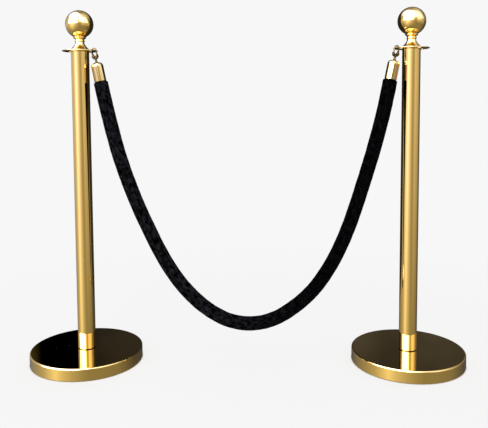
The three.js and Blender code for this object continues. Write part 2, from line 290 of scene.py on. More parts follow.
def blotches(tree, scale, detail=3.0, stretch=(1, 1, 1), coordinates="Object", distortion=0.0):
    """Noise with scale blotches to the metre, drawn out by stretch."""
    place = add(tree, "ShaderNodeTexCoord").outputs[coordinates]
    drawn = add(tree, "ShaderNodeMapping", {"Vector": place, "Scale": stretch}).outputs["Vector"]
    inputs = {"Vector": drawn, "Scale": scale, "Detail": detail, "Distortion": distortion}
    return add(tree, "ShaderNodeTexNoise", inputs).outputs["Fac"]


def patchy(tree, pattern, lowest, highest):
    """A value that goes from lowest to highest with a pattern of blotches."""
    return spread(tree, pattern, BLOTCH_LOW, BLOTCH_HIGH, lowest, highest)


def maths(tree, operation, first, second):
    """What an operation makes of two numbers."""
    return add(tree, "ShaderNodeMath", {0: first, 1: second}, operation=operation).outputs["Value"]


def mixed(tree, factor, first, second, kind="RGBA"):
    """What lies between two colours, or between two vectors where kind is VECTOR, at factor."""
    node = add(tree, "ShaderNodeMix", data_type=kind)
    for key, value in {"Factor": factor, "A": first, "B": second}.items():
        socket = next(s for s in node.inputs if s.name == key and s.enabled)
        if isinstance(value, bpy.types.NodeSocket):
            tree.links.new(value, socket)
        else:
            socket.default_value = (*value, 1)[:len(socket.default_value)]
    return next(s for s in node.outputs if s.enabled)


def relief(tree, height, depth):
    """A bump that stands depth metres high."""
    inputs = {"Height": height, "Distance": depth, "Strength": 1.0}
    return add(tree, "ShaderNodeBump", inputs).outputs["Normal"]


def empty_material(name):
    """A material with nothing in its node tree yet, and that tree."""
    made = bpy.data.materials.new(name)
    made.use_nodes = True
    made.node_tree.nodes.clear()
    return made, made.node_tree


def material(name, build, **uniform):
    """A material whose build function gives its varying inputs. Uniform values go straight on the shader."""
    made, tree = empty_material(name)
    shader = add(tree, "ShaderNodeBsdfPrincipled", {**uniform, **build(tree)})
    add(tree, "ShaderNodeOutputMaterial", {"Surface": shader.outputs["BSDF"]})
    return made


# Materials

BLOTCH_LOW, BLOTCH_HIGH = 0.3, 0.7  # nearly all values of a noise lie between these
SMUDGE_LOW, SMUDGE_HIGH = 0.35, 0.75
MIRROR_ROUGHNESS = (0.02, 0.05)
POLISH_DEPTH = 1e-6
GOLD_TONES = [(0.93, 0.575, 0.10), (0.96, 0.615, 0.118)]
# The colour of the painted shade line at the tube's foot
SHADE_LINE_COLOUR = (0.004, 0.002, 0.001)
SHEEN_FADES_ALONG = (0.75, 1.0)  # metres along the rope over which the painted sheen fades into painted shade
# The share of the painted sheen that is left in the painted shade
SHADED_SHEEN_SHARE = 0.25
LACQUER = {"Metallic": 1.0, "Coat Weight": 1.0, "Coat IOR": 1.5, "Coat Roughness": 0.02}


def gold_tone(tree, depth=1.0):
    """The gold's slightly uneven colour. depth below 1 darkens it."""
    tones = [Vector(tone) * depth for tone in GOLD_TONES]
    return mixed(tree, blotches(tree, scale=6, detail=2), *tones)


def wiped(tree):
    """The roughness of a mirror with faint smudges where it was wiped."""
    smudges = blotches(tree, scale=35, detail=4, distortion=0.4)
    return spread(tree, smudges, SMUDGE_LOW, SMUDGE_HIGH, *MIRROR_ROUGHNESS)


def gold(name, grain, depth=1.0):
    """Lacquered gold-coloured metal with faint smudges and fine polishing marks."""
    def build(tree):
        return {
            "Base Color": gold_tone(tree, depth),
            "Roughness": wiped(tree),
            "Normal": relief(tree, blotches(tree, grain, detail=2), POLISH_DEPTH),
        }
    return material(name, build, **LACQUER)


def tube_gold():
    """The tube's gold, drawn lengthwise, with a painted dark line of shade where it stands on the base."""
    def build(tree):
        place = add(tree, "ShaderNodeTexCoord").outputs["Object"]
        height = add(tree, "ShaderNodeSeparateXYZ", {0: place}).outputs["Z"]
        # Painted shade: a dark line without lacquer along the joint where the tube stands on the base
        shade_line = spread(tree, height, SHADE_LINE_TOP * MM, SHADE_LINE_END * MM, 1, 0)
        drawn = blotches(tree, scale=700, detail=2, stretch=(1, 1, 0.02))
        return {
            "Base Color": mixed(tree, shade_line, gold_tone(tree), SHADE_LINE_COLOUR),
            "Roughness": wiped(tree),
            "Coat Weight": spread(tree, shade_line, 0, 1, 1, 0),
            "Normal": relief(tree, drawn, POLISH_DEPTH),
        }
    return material("gold_tube", build, **LACQUER)


def dull_gold():
    """The darker and duller gold of the small cast fittings."""
    dark, light = (0.07, 0.042, 0.009), (0.17, 0.105, 0.026)

    def build(tree):
        worn = blotches(tree, scale=260, detail=4)
        return {
            "Base Color": mixed(tree, worn, dark, light),
            "Roughness": patchy(tree, worn, 0.16, 0.3),
            "Normal": relief(tree, blotches(tree, scale=1500, detail=3), depth=1e-5),
        }
    return material("gold_small", build, Metallic=1.0)


def steel(name, dark, light):
    """Brushed steel between two colours."""
    def build(tree):
        brushed = blotches(tree, scale=400, stretch=(1, 1, 12))
        return {
            "Base Color": mixed(tree, blotches(tree, scale=60), dark, light),
            "Roughness": patchy(tree, brushed, 0.28, 0.5),
            "Normal": relief(tree, brushed, depth=2e-5),
        }
    return material(name, build, Metallic=1.0)


def spring_steel():
    """Drawn spring wire."""
    dark, light = (0.50, 0.50, 0.52), (0.66, 0.66, 0.67)

    def build(tree):
        drawn = blotches(tree, scale=900, stretch=(1, 1, 6))
        return {
            "Base Color": mixed(tree, blotches(tree, scale=200), dark, light),
            "Roughness": patchy(tree, drawn, 0.22, 0.4),
        }
    return material("spring_wire", build, Metallic=1.0)


def cast_iron():
    """Grey iron as it leaves the sand mould, with patches of rust bloom."""
    iron, rust = (0.055, 0.057, 0.06), (0.13, 0.075, 0.045)

    def build(tree):
        sand = blotches(tree, scale=700, detail=5)
        bloom = spread(tree, blotches(tree, scale=25, detail=5), 0.5, 0.7, 0, 1)
        return {
            "Base Color": mixed(tree, bloom, iron, rust),
            "Roughness": patchy(tree, sand, 0.6, 0.85),
            "Normal": relief(tree, sand, depth=4e-4),
        }
    return material("cast_iron", build, Metallic=0.7)


def rubber():
    """Matt moulded rubber."""
    dark, light = grey(0.012), grey(0.03)

    def build(tree):
        skin = blotches(tree, scale=1500, detail=2)
        return {
            "Base Color": mixed(tree, blotches(tree, scale=80), dark, light),
            "Roughness": patchy(tree, skin, 0.7, 0.95),
            "Normal": relief(tree, skin, depth=1e-4),
        }
    return material("black_rubber", build)


def nylon():
    """Natural nylon, faintly clouded."""
    dark, light = (0.72, 0.70, 0.62), (0.80, 0.78, 0.71)

    def build(tree):
        return {
            "Base Color": mixed(tree, blotches(tree, scale=150), dark, light),
            "Roughness": patchy(tree, blotches(tree, scale=900), 0.4, 0.6),
        }
    return material("white_nylon", build)


def wood():
    """Turned softwood, with its fibres along the rope's end."""
    dark, light = (0.36, 0.22, 0.11), (0.60, 0.42, 0.24)

    def build(tree):
        fibres = blotches(tree, scale=500, detail=4, stretch=(1, 1, 0.08), distortion=0.6)
        return {
            "Base Color": mixed(tree, fibres, dark, light),
            "Roughness": patchy(tree, fibres, 0.6, 0.85),
            "Normal": relief(tree, fibres, depth=2e-4),
        }
    return material("turned_wood", build)


def cotton():
    """Loose tufts of undyed cotton."""
    dark, light = (0.58, 0.55, 0.47), (0.78, 0.75, 0.68)

    def build(tree):
        tufts = blotches(tree, scale=420, detail=6)
        return {
            "Base Color": mixed(tree, tufts, dark, light),
            "Roughness": patchy(tree, tufts, 0.85, 1.0),
            "Normal": relief(tree, tufts, depth=1e-3),
        }
    return material("cotton_core", build)


def velvet():
    """Black velvet: a short pile with a blotchy painted sheen, which fades into painted shade along the
    rope's right-hand part.
    """
    # light is the painted sheen of the pile, dark is the velvet's own black
    dark, light = (0.001, 0.001, 0.0012), (0.042, 0.043, 0.053)

    def build(tree):
        place = add(tree, "ShaderNodeTexCoord").outputs["UV"]
        along = add(tree, "ShaderNodeSeparateXYZ", {0: place}).outputs["Y"]
        brushed = blotches(tree, scale=110, detail=7, stretch=(1, 0.6, 1), coordinates="UV", distortion=0.5)
        pile = blotches(tree, scale=1600, detail=3, coordinates="UV")
        # Painted sheen in blotches, in full on the lit part of the rope and mostly painted shade on the rest
        sheen_blotches = spread(tree, brushed, 0.42, 0.7, 0, 1)
        lit_share = spread(tree, along, *SHEEN_FADES_ALONG, 1, SHADED_SHEEN_SHARE)
        painted_sheen = maths(tree, "MULTIPLY", sheen_blotches, lit_share)
        return {
            "Base Color": mixed(tree, maths(tree, "MULTIPLY", painted_sheen, pile), dark, light),
            "Roughness": patchy(tree, pile, 0.8, 1.0),
            "Normal": relief(tree, pile, depth=5e-4),
        }
    uniform = {
        "Sheen Weight": 0.02, "Sheen Roughness": 0.35, "Sheen Tint": (0.8, 0.84, 1, 1),
        "Specular IOR Level": 0.0,
    }
    return material("black_velvet", build, **uniform)


# Meshes

SHARP_ANGLE = radians(38)
SAME_PLACE = 1e-7
CORNER_SHARE = 0.45  # the most of a side that its corner's rounding may take


def closed_up(mesh):
    """Joins the corners that share a place and turns every face outward."""
    work = bmesh.new()
    work.from_mesh(mesh)
    bmesh.ops.remove_doubles(work, verts=work.verts, dist=SAME_PLACE)
    bmesh.ops.recalc_face_normals(work, faces=work.faces)
    work.to_mesh(mesh)
    work.free()


def piece(name, points, faces, look):
    """A mesh object with smooth faces and sharp corners, from points in millimetres."""
    mesh = bpy.data.meshes.new(name)
    mesh.from_pydata([Vector(point) * MM for point in points], [], faces)
    closed_up(mesh)
    return finished(name, mesh, look)


def finished(name, mesh, look):
    """An object with that mesh, shaded smooth up to an angle."""
    mesh.shade_smooth()
    mesh.set_sharp_from_angle(angle=SHARP_ANGLE)
    mesh.materials.clear()
    mesh.materials.append(look)
    obj = placed(name, mesh)
    level = obj.modifiers.new("level", "WEIGHTED_NORMAL")
    level.keep_sharp = True
    return obj


def arc(centre, radius, start, end, steps):
    """Points of an arc about centre, with its angles in degrees."""
    angles = [radians(start + (end - start) * i / steps) for i in range(steps + 1)]
    return [(centre[0] + radius * cos(a), centre[1] + radius * sin(a)) for a in angles]


def rounded(outline, radius, steps=4):
    """A closed outline with its corners rounded, apart from those on the axis."""
    result = []
    for i, corner in enumerate(outline):
        corner = Vector(corner)
        if corner.x == 0:
            result.append(tuple(corner))
            continue
        ends = []
        for neighbour in (outline[i - 1], outline[(i + 1) % len(outline)]):
            way = Vector(neighbour) - corner
            ends.append(corner + way.normalized() * min(radius, CORNER_SHARE * way.length))
        for j in range(steps + 1):
            t = j / steps
            point = ends[0] * (1 - t) ** 2 + corner * (2 * t * (1 - t)) + ends[1] * t ** 2
            result.append(tuple(point))
    return result


def turned(name, section, look, segments):
    """A piece turned about its own Z axis from a closed section of (radius, height) points."""
    angles = [2 * pi * i / segments for i in range(segments)]
    points = [(r * cos(a), r * sin(a), z) for r, z in section for a in angles]
    faces = []
    for ring in range(len(section)):
        here = ring * segments
        above = (ring + 1) % len(section) * segments
        for i in range(segments):
            j = (i + 1) % segments
            faces.append((here + i, here + j, above + j, above + i))
    return piece(name, points, faces, look)


def evaluated_mesh(obj):
    """The mesh that an object's curve or modifiers make."""
    bpy.context.view_layer.update()
    return bpy.data.meshes.new_from_object(obj.evaluated_get(bpy.context.evaluated_depsgraph_get()))


def plate(name, outlines, half, bevel, look):
    """A flat plate with soft edges, lying in XY. The first outline is its edge, the others are its holes."""
    curve = bpy.data.curves.new(name, "CURVE")
    curve.dimensions = "2D"
    curve.fill_mode = "BOTH"
    curve.extrude = (half - bevel) * MM
    curve.bevel_depth = bevel * MM
    curve.bevel_resolution = 2
    curve.offset = -bevel * MM
    for outline in outlines:
        spline = curve.splines.new("POLY")
        spline.points.add(len(outline) - 1)
        spline.use_cyclic_u = True
        for point, (x, y) in zip(spline.points, outline):
            point.co = (x * MM, y * MM, 0, 1)
    source = placed(name + "_outline", curve)
    mesh = evaluated_mesh(source)
    bpy.data.objects.remove(source)
    closed_up(mesh)
    return finished(name, mesh, look)


def circle(radius, steps, centre=(0, 0)):
    """A closed outline of that many points about centre."""
    return arc(centre, radius, 0, 360 - 360 / steps, steps - 1)


def swept(name, line, radius_at, corners, side, look):
    """A rod along a line in the plane square to side. radius_at(i, angle) gives its radius at point i."""
    points = []
    faces = []
    for i, centre in enumerate(line):
        ahead = line[min(i + 1, len(line) - 1)] - line[max(i - 1, 0)]
        up = ahead.cross(side).normalized()
        for k in range(corners):
            angle = 2 * pi * k / corners
            points.append(centre + (side * cos(angle) + up * sin(angle)) * radius_at(i, angle))
    for i in range(len(line) - 1):
        for k in range(corners):
            j = (k + 1) % corners
            faces.append((i * corners + k, i * corners + j, (i + 1) * corners + j, (i + 1) * corners + k))
    faces.append(tuple(range(corners)))
    faces.append(tuple((len(line) - 1) * corners + k for k in range(corners)))
    return piece(name, points, faces, look)


def block(low_corner, high_corner):
    """A plain box, used only for cutting."""
    xs, ys, zs = zip(low_corner, high_corner)
    points = [(x, y, z) for x in xs for y in ys for z in zs]
    faces = [(0, 1, 3, 2), (4, 6, 7, 5), (0, 4, 5, 1), (2, 3, 7, 6), (0, 2, 6, 4), (1, 5, 7, 3)]
    return piece("cutter", points, faces, LOOKS["gold_small"])


def round_bar(radius, bottom, top):
    """A plain upright bar, used only for cutting."""
    section = [(0, bottom), (radius, bottom), (radius, top), (0, top)]
    return turned("cutter", section, LOOKS["gold_small"], segments=32)


def cross_bar(centre, radius, half):
    """A plain bar along v, used only for cutting."""
    bar = round_bar(radius, -half, half)
    place = Matrix.Translation(Vector((centre[0], 0, centre[1])) * MM)
    bar.data.transform(place @ Matrix.Rotation(pi / 2, 4, "X"))
    return bar


def carved(obj, cutters):
    """obj with the cutters taken out of it."""
    obj.modifiers.clear()
    for cutter in cutters:
        modifier = obj.modifiers.new("cut", "BOOLEAN")
        modifier.operation = "DIFFERENCE"
        modifier.solver = "EXACT"
        modifier.object = cutter
    mesh = evaluated_mesh(obj)
    look = obj.data.materials[0]
    name = obj.name
    for unused in [obj, *cutters]:
        bpy.data.objects.remove(unused)
    return finished(name, mesh, look)


def joined(first, second):
    """Two meshes as one piece."""
    work = bmesh.new()
    work.from_mesh(first.data)
    work.from_mesh(second.data)
    work.to_mesh(first.data)
    work.free()
    first.data.set_sharp_from_angle(angle=SHARP_ANGLE)
    bpy.data.objects.remove(second)
    return first


def upright(obj):
    """A plate that lay in XY, stood up in the hook's u and w."""
    obj.data.transform(Matrix.Rotation(pi / 2, 4, "X"))
    return obj


def fit(obj, matrix, body, node):
    """Puts a piece in place of a CAD node, on that node's body."""
    obj.data.transform(matrix)
    obj.name = node + "_look"
    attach(obj, body)
    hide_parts(node)
    return obj


# Post

def floor_ring():
    """The rubber ring that the base stands on."""
    section = [
        (FLOOR_RING_INNER, 0), (FLOOR_RING_OUTER, 0),
        (FLOOR_RING_OUTER, FLOOR_RING_HEIGHT), (FLOOR_RING_INNER, FLOOR_RING_HEIGHT),
    ]
    return turned("floor_ring", rounded(section, FLOOR_RING_EDGE), LOOKS["rubber"], segments=160)


def base_weight():
    """The iron weight under the cover, hollowed from below."""
    outer = BASE_RADIUS - COVER_THICKNESS - PLAY
    foot = FLOOR_RING_HEIGHT + PLAY
    top = BASE_TOP - COVER_THICKNESS - PLAY
    ceiling = top - WEIGHT_PLATE
    section = [
        (outer, foot), (outer, top - COVER_EDGE), (outer - COVER_EDGE + COVER_THICKNESS, top),
        (BOLT_BORE, top), (BOLT_BORE, ceiling),
        (RECESS_RADIUS - RECESS_DRAFT, ceiling), (RECESS_RADIUS, foot),
    ]
    return turned("base_weight", rounded(section, WEIGHT_EDGE), LOOKS["cast_iron"], segments=160)


def base_cover():
    """A thin spun cover with a rounded rim and a skirt."""
    corner = (BASE_RADIUS - COVER_EDGE, BASE_TOP - COVER_EDGE)
    section = [
        (BASE_RADIUS - COVER_THICKNESS, SKIRT_FOOT), (BASE_RADIUS, SKIRT_FOOT),
        *arc(corner, COVER_EDGE, 0, 90, steps=12),
        (BOLT_BORE, BASE_TOP), (BOLT_BORE, BASE_TOP - COVER_THICKNESS),
        *arc(corner, COVER_EDGE - COVER_THICKNESS, 90, 0, steps=8),
    ]
    return turned("base_cover", section, LOOKS["gold_base"], segments=224)


def post_tube():
    """The tube, with both of its ends softened."""
    inner = TUBE_RADIUS - TUBE_WALL
    foot_edge = (TUBE_RADIUS - TUBE_FOOT_EDGE, TUBE_FOOT + TUBE_FOOT_EDGE)
    top_edge = (TUBE_RADIUS - TUBE_TOP_EDGE, TUBE_TOP - TUBE_TOP_EDGE)
    section = [
        (inner, TUBE_FOOT), *arc(foot_edge, TUBE_FOOT_EDGE, -90, 0, steps=6),
        *arc(top_edge, TUBE_TOP_EDGE, 0, 90, steps=4), (inner, TUBE_TOP),
    ]
    return turned("post_tube", section, LOOKS["gold_tube"], segments=128)


def rope_ring():
    """The flat ring on the tube, with holes for the hooks."""
    holes = [circle(STUD_BORE, steps=32)]
    for i in range(RING_HOLES):
        angle = 2 * pi * i / RING_HOLES
        centre = (RING_HOLE_ORBIT * cos(angle), RING_HOLE_ORBIT * sin(angle))
        holes.append(circle(RING_HOLE_RADIUS, 48, centre))
    outlines = [circle(RING_RADIUS, steps=144), *[hole[::-1] for hole in holes]]
    return plate("rope_ring", outlines, RING_THICKNESS / 2, RING_EDGE, LOOKS["gold_cast"])


def finial_neck():
    """A turned neck: a flared foot, a waist, a small collar and a bead under the ball."""
    flare = []
    for i in range(FLARE_STEPS + 1):
        part = i / FLARE_STEPS
        spare = (FLARE_RADIUS - WAIST_RADIUS) * (1 - part) ** FLARE_POWER
        flare.append((WAIST_RADIUS + spare, FLARE_FOOT + (FLARE_TOP - FLARE_FOOT) * part))
    upper = rounded([
        (STUD_BORE, NECK_FOOT), (WAIST_RADIUS, COLLAR_HEIGHT - COLLAR_REACH),
        (COLLAR_RADIUS, COLLAR_HEIGHT - COLLAR_HALF), (COLLAR_RADIUS, COLLAR_HEIGHT + COLLAR_HALF),
        THROAT_FOOT, THROAT_TOP, BEAD_STEP,
        (BEAD_RADIUS, BEAD_HEIGHT - BEAD_HALF), (BEAD_RADIUS, BEAD_HEIGHT + BEAD_HALF),
        BEAD_TOP, (STUD_BORE, NECK_TOP),
    ], NECK_EDGE)
    swell = [(r, z) for r, z in upper if z > FLARE_TOP and r > NECK_SKIN]
    section = [(STUD_BORE, NECK_FOOT), (FLARE_RADIUS, NECK_FOOT), *flare, *swell, (STUD_BORE, NECK_TOP)]
    return turned("finial_neck", section, LOOKS["gold_cast"], segments=96)


def finial_ball():
    """A hollow ball with a threaded boss inside its flat foot."""
    centre = BALL_TOP - BALL_RADIUS
    flat = BALL_FOOT - centre
    inner = BALL_RADIUS - BALL_WALL
    inner_flat = flat + BALL_WALL
    boss = STUD_BORE + BALL_BOSS_WALL
    section = [
        (0, inner), *arc((0, 0), inner, INNER_POLE, degrees(asin(inner_flat / inner)), steps=20),
        (boss, inner_flat), (boss, flat + BALL_BOSS), (STUD_BORE, flat + BALL_BOSS), (STUD_BORE, flat),
        *arc((0, 0), BALL_RADIUS, degrees(asin(flat / BALL_RADIUS)), OUTER_POLE, steps=56), (0, BALL_RADIUS),
    ]
    return turned("finial_ball", [(r, z + centre) for r, z in section], LOOKS["gold_cast"], segments=112)


def post(name, side):
    """The pieces of one post, each put on its body in place of its CAD node."""
    place = Matrix.Translation((POST_X[name] * MM, 0, 0))
    ring_place = Matrix.Translation((POST_X[name] * MM, 0, RING_HEIGHT * MM))
    ring_place = ring_place @ Matrix.Rotation(side * RING_TURN, 4, "Z")
    finial = f"{name}_finial"
    fit(floor_ring(), place, "stands", f"{name}_floor_ring")
    fit(base_weight(), place, "stands", f"{name}_base_weight")
    fit(base_cover(), place, "stands", f"{name}_base_cover")
    fit(post_tube(), place, "stands", f"{name}_post_tube")
    fit(rope_ring(), ring_place, "stands", f"{name}_rope_ring")
    fit(finial_neck(), place, finial, f"{name}_finial_neck")
    fit(finial_ball(), place, finial, f"{name}_finial_ball")


# Hook and rope end

def hook_matrix(side):
    """Where the hook's own frame lies. Its origin is the middle of the crown."""
    hang_x = POST_X["right"] - STRIP_ORBIT * cos(RING_TURN)
    hang = Vector((side * hang_x, -STRIP_ORBIT * sin(RING_TURN), RING_HEIGHT))
    up = Vector((side * sin(HOOK_LEAN), 0, cos(HOOK_LEAN)))
    to_post = Vector((side * cos(RING_TURN), sin(RING_TURN), 0))
    to_post = (to_post - up * to_post.dot(up)).normalized()
    across = up.cross(to_post)
    centre = (hang - up * CROWN_DROP) * MM
    return Matrix.Translation(centre) @ Matrix((to_post, across, up)).transposed().to_4x4()


def hook_rod():
    """The bent wire of the hook: a rounded nose, the crown and the back."""
    nose = [(CROWN_RADIUS, NOSE_END + step) for step, _ in NOSE]
    bend = arc((0, 0), CROWN_RADIUS, 0, 180, steps=28)
    back = [(-CROWN_RADIUS, -step) for step in (2, 4, 6, 8, 10, -BACK_END)]
    line = [Vector((u, 0, w)) for u, w in [*nose, *bend, *back]]

    def radius_at(i, angle):
        return HOOK_WIRE * NOSE[i][1] if i < len(NOSE) else HOOK_WIRE

    return swept("hook_rod", line, radius_at, corners=28, side=Vector((0, 1, 0)), look=LOOKS["gold_small"])


def yoke():
    """The forked lump at the hook's foot, with the window that the swivel stud's head turns in."""
    pivot_u, pivot_w = GATE_PIVOT
    back = -CROWN_RADIUS - HOOK_WIRE
    outline = rounded([
        (-YOKE_FOOT_HALF, YOKE_END), (YOKE_FOOT_HALF, YOKE_END),
        (pivot_u + GATE_EYE, pivot_w - YOKE_FLANK), (pivot_u + YOKE_EYE, pivot_w),
        *arc(GATE_PIVOT, YOKE_EYE, 15, 165, steps=12),
        (SEAT_FRONT, YOKE_FLOOR), (SEAT_BACK, YOKE_FLOOR), COVE, (back, SHOULDER_TOP), (back, SHOULDER_FOOT),
    ], YOKE_CORNER, steps=3)
    lump = upright(plate("yoke", [outline], YOKE_HALF, YOKE_EDGE, LOOKS["gold_small"]))
    fork = GATE_HALF + PLAY
    reach = YOKE_EYE + PLAY
    past = YOKE_HALF + CUT_PAST
    return carved(lump, [
        cross_bar(GATE_PIVOT, FORK_RADIUS, fork),
        block((pivot_u - reach, -fork, pivot_w), (pivot_u + reach, fork, pivot_w + FORK_HEIGHT)),
        cross_bar(GATE_PIVOT, PIN_RADIUS + PLAY, past),
        block((-WINDOW_HALF, -past, WINDOW_BOTTOM), (WINDOW_HALF, past, WINDOW_TOP)),
        round_bar(SWIVEL_RADIUS + PLAY, YOKE_END - CUT_PAST, WINDOW_BOTTOM + CUT_PAST),
    ])


def hook_gate():
    """The lever that closes the hook, slotted round its spring."""
    tip_corners = [(CROWN_RADIUS + GATE_TIP_HALF, GATE_TIP), (CROWN_RADIUS - GATE_TIP_HALF, GATE_TIP)]
    steps = 4
    tip = rounded([*tip_corners, GATE_PIVOT], GATE_CORNER, steps)[:len(tip_corners) * (steps + 1)]
    outline = [*arc(GATE_PIVOT, GATE_EYE, 180, 360, steps=16), *tip]
    lever = upright(plate("hook_gate", [outline], GATE_HALF, GATE_EDGE, LOOKS["gold_small"]))
    return carved(lever, [
        cross_bar(GATE_PIVOT, PIN_RADIUS + PLAY, GATE_HALF + CUT_PAST),
        cross_bar(GATE_PIVOT, GATE_EYE + SPRING_ROOM, SPRING_HALF),
    ])


def swivel_stud():
    """A headed stud with two beads."""
    lower_radius, lower_sunk, lower_arc = LOWER_BEAD
    upper_radius, upper_sunk, upper_arc = UPPER_BEAD
    lower = CAP_TOP + PLAY + lower_radius
    upper = YOKE_END - PLAY - upper_radius
    head = WINDOW_BOTTOM + PLAY
    section = [
        (0, STUD_FOOT), (SWIVEL_RADIUS, STUD_FOOT), (SWIVEL_RADIUS, lower - lower_radius),
        *arc((SWIVEL_RADIUS - lower_sunk, lower), lower_radius, -lower_arc, lower_arc, steps=14),
        *arc((SWIVEL_RADIUS - upper_sunk, upper), upper_radius, -upper_arc, upper_arc, steps=12),
        (SWIVEL_RADIUS, upper + upper_radius), (SWIVEL_RADIUS, head), (SWIVEL_HEAD, head),
        *[(SWIVEL_HEAD - inset, head + height) for inset, height in SWIVEL_HEAD_EDGE],
        (0, head + SWIVEL_HEAD_HEIGHT),
    ]
    return turned("swivel_stud", section, LOOKS["gold_small"], segments=40)


def end_cap():
    """A cap with a round shoulder and a softly rolled mouth."""
    shoulder = (CAP_RADIUS - CAP_DOME, CAP_TOP - CAP_DOME)
    mouth = (CAP_RADIUS - CAP_WALL / 2, CAP_MOUTH + CAP_WALL / 2)
    bore = SWIVEL_RADIUS + SWIVEL_PLAY
    section = [
        *arc(mouth, CAP_WALL / 2, -180, 0, steps=8),
        *arc(shoulder, CAP_DOME, 0, 90, steps=18), (bore, CAP_TOP), (bore, CAP_TOP - CAP_WALL),
        *arc(shoulder, CAP_DOME - CAP_WALL, 90, 0, steps=10),
    ]
    return turned("end_cap", section, LOOKS["gold_cap"], segments=96)


def rope_end(name, side):
    """The hook, the stud and the cap at one end of the rope."""
    place = hook_matrix(side)
    fit(joined(yoke(), hook_rod()), place, f"{name}_hook", f"{name}_snap_hook")
    fit(hook_gate(), place, f"{name}_gate", f"{name}_hook_gate")
    fit(swivel_stud(), place, "rope", f"{name}_swivel_stud")
    fit(end_cap(), place, "rope", f"{name}_end_cap")


# Rope

def rope_points():
    """The points that the rope's middle goes through, from the mouth of one cap to the mouth of the other."""
    ends = [hook_matrix(side) @ (Vector((0, 0, CAP_MOUTH - PLAY)) * MM) / MM for side in SIDES.values()]
    between = [Vector((x, ends[0].y, z)) for x, z in ROPE_ROUTE]
    return [ends[0], *between, ends[1]]


def smooth_line(points, steps):
    """A centripetal Catmull-Rom curve through the points, at that many places between each two."""
    padded = [points[0] * 2 - points[1], *points, points[-1] * 2 - points[-2]]
    line = []
    for a, b, c, d in zip(padded, padded[1:], padded[2:], padded[3:]):
        ab, bc, cd = (b - a).length ** 0.5, (c - b).length ** 0.5, (d - c).length ** 0.5
        leave = ((b - a) / ab - (c - a) / (ab + bc) + (c - b) / bc) * bc
        arrive = ((c - b) / bc - (d - b) / (bc + cd) + (d - c) / cd) * bc
        for i in range(steps):
            t = i / steps
            square = (c - b) * 3 - leave * 2 - arrive
            cube = (b - c) * 2 + leave + arrive
            line.append(b + leave * t + square * t ** 2 + cube * t ** 3)
    return [*line, points[-1]]


def evenly(line, gap):
    """The line with its points about gap apart, and its length."""
    lengths = [0.0]
    for a, b in zip(line, line[1:]):
        lengths.append(lengths[-1] + (b - a).length)
    count = round(lengths[-1] / gap)
    result = []
    k = 0
    for i in range(count + 1):
        wanted = lengths[-1] * i / count
        while k < len(line) - 2 and lengths[k + 1] < wanted:
            k += 1
        part = (wanted - lengths[k]) / (lengths[k + 1] - lengths[k])
        result.append(line[k].lerp(line[k + 1], part))
    return result, lengths[-1]


def velvet_rope():
    """The padded velvet sleeve: drawn in at the caps, puckered there, a little lumpy, and seamed behind."""
    line, length = evenly(smooth_line(rope_points(), steps=12), ROPE_STEP)

    def radius_at(i, angle):
        along = i * length / (len(line) - 1)
        from_end = min(along, length - along)
        drawn_in = max(0, 1 - from_end / DRAWN_LENGTH) ** 2 * (ROPE_RADIUS - DRAWN_RADIUS)
        puckers = PUCKER_HEIGHT * cos(PUCKERS * angle) * max(0, 1 - from_end / PUCKER_LENGTH)
        place = Vector((cos(angle), sin(angle), along / LUMP_LENGTH))
        lumps = sum(height * noise.noise(place * fineness) for fineness, height in LUMPS)
        from_seam = (angle + pi) % (2 * pi) - pi
        groove = SEAM_DEPTH * max(0, 1 - abs(from_seam) / SEAM_HALF)
        return ROPE_RADIUS - PLAY - drawn_in + puckers + lumps - groove

    rope = swept("velvet_rope", line, radius_at, corners=48, side=Vector((0, 1, 0)), look=LOOKS["velvet"])
    lay_out(rope, line)
    fit(rope, Matrix.Identity(4), "rope", "rope_sleeve")
    path = [point * MM for point in line]
    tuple(path[0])


def lay_out(rope, line):
    """A map of the rope's surface in metres: round it in u, and along it in v."""
    mesh = rope.data
    layer = mesh.uv_layers.new(name="along")
    centres = [point * MM for point in line]
    step = (centres[1] - centres[0]).length
    nearest = nearest_rings(mesh, centres)
    for face in mesh.polygons:
        for loop, vertex in zip(face.loop_indices, face.vertices):
            ring = nearest[vertex]
            offset = mesh.vertices[vertex].co - centres[ring]
            ahead = centres[min(ring + 1, len(centres) - 1)] - centres[max(ring - 1, 0)]
            up = ahead.cross(Vector((0, 1, 0))).normalized()
            turn = Vector((offset.y, offset.dot(up))).angle_signed(Vector((1, 0)), 0)
            layer.data[loop].uv = (turn * ROPE_RADIUS * MM, ring * step)


def nearest_rings(mesh, centres):
    """The index of the ring that each corner of the rope belongs to."""
    tree = KDTree(len(centres))
    for i, centre in enumerate(centres):
        tree.insert(centre, i)
    tree.balance()
    return [tree.find(vertex.co)[1] for vertex in mesh.vertices]


# Pieces that keep their CAD shape

def dress_cad_nodes():
    """Gives every CAD node that stays its own look."""
    looks = {
        "foot_plug": "steel", "base_bolt": "steel", "base_washer": "steel", "head_plug": "steel",
        "finial_stud": "steel", "finial_washer": "nylon", "gate_pin": "dark_steel",
        "gate_spring": "spring_steel", "end_plug": "wood",
    }
    for name in SIDES:
        for node, look in looks.items():
            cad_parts[f"{name}_{node}"].data.materials[0] = LOOKS[look]
    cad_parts["rope_core"].data.materials[0] = LOOKS["core"]


# Studio

